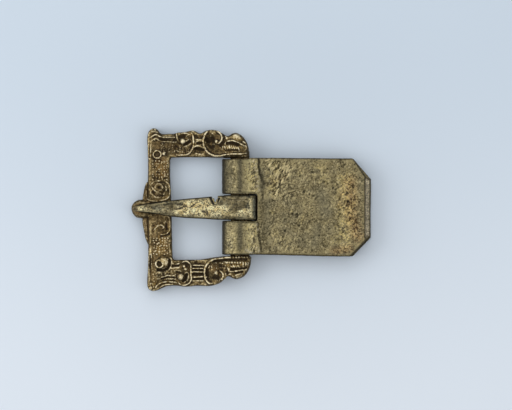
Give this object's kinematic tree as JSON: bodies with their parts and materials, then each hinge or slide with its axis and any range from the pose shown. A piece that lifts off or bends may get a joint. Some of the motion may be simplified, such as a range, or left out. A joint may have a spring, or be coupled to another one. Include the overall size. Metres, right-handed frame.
{
  "type": "strap buckle",
  "caption": "Cast scrolled frame with its own strap bar, a tongue that rests on a lip, and a folded two-leaf plate riveted to a strap end.",
  "frame": {"origin": "middle of the underside of the whole buckle as it lies flat on its back", "axes": "+X from the tongue's tip to the end of the plate, along the strap; +Y across the strap, to the arm with the ring at its corner and the higher scrolls; +Z out of the ornamented front face"},
  "size_m": [0.0622, 0.0422, 0.0068],
  "materials": {
    "cast_bronze": "dark bronze patina, worn bright on the ridges",
    "worn_brass": "worn yellow brass with dark pits",
    "plate_brass": "olive brown patina with fine pits and rust stains",
    "rusted_iron": "rusted"
  },
  "bodies": {
    "frame": {"frame": "cast_bronze"},
    "plate": {"strap_plate": "plate_brass", "rivet_upper": "rusted_iron", "rivet_middle": "rusted_iron", "rivet_lower": "rusted_iron"},
    "tongue": {"tongue": "worn_brass"}
  },
  "joints": [
    {"name": "plate_hinge", "type": "hinge", "parent": "frame", "child": "plate", "pos_m": [-0.00287, 0.00092, 0.00341], "axis": [0, -1, 0], "range_deg": [-150, 30]},
    {"name": "tongue_hinge", "type": "hinge", "parent": "frame", "child": "tongue", "pos_m": [-0.00287, 0.00092, 0.00341], "axis": [0, 1, 0], "range_deg": [0, 70]}
  ]
}
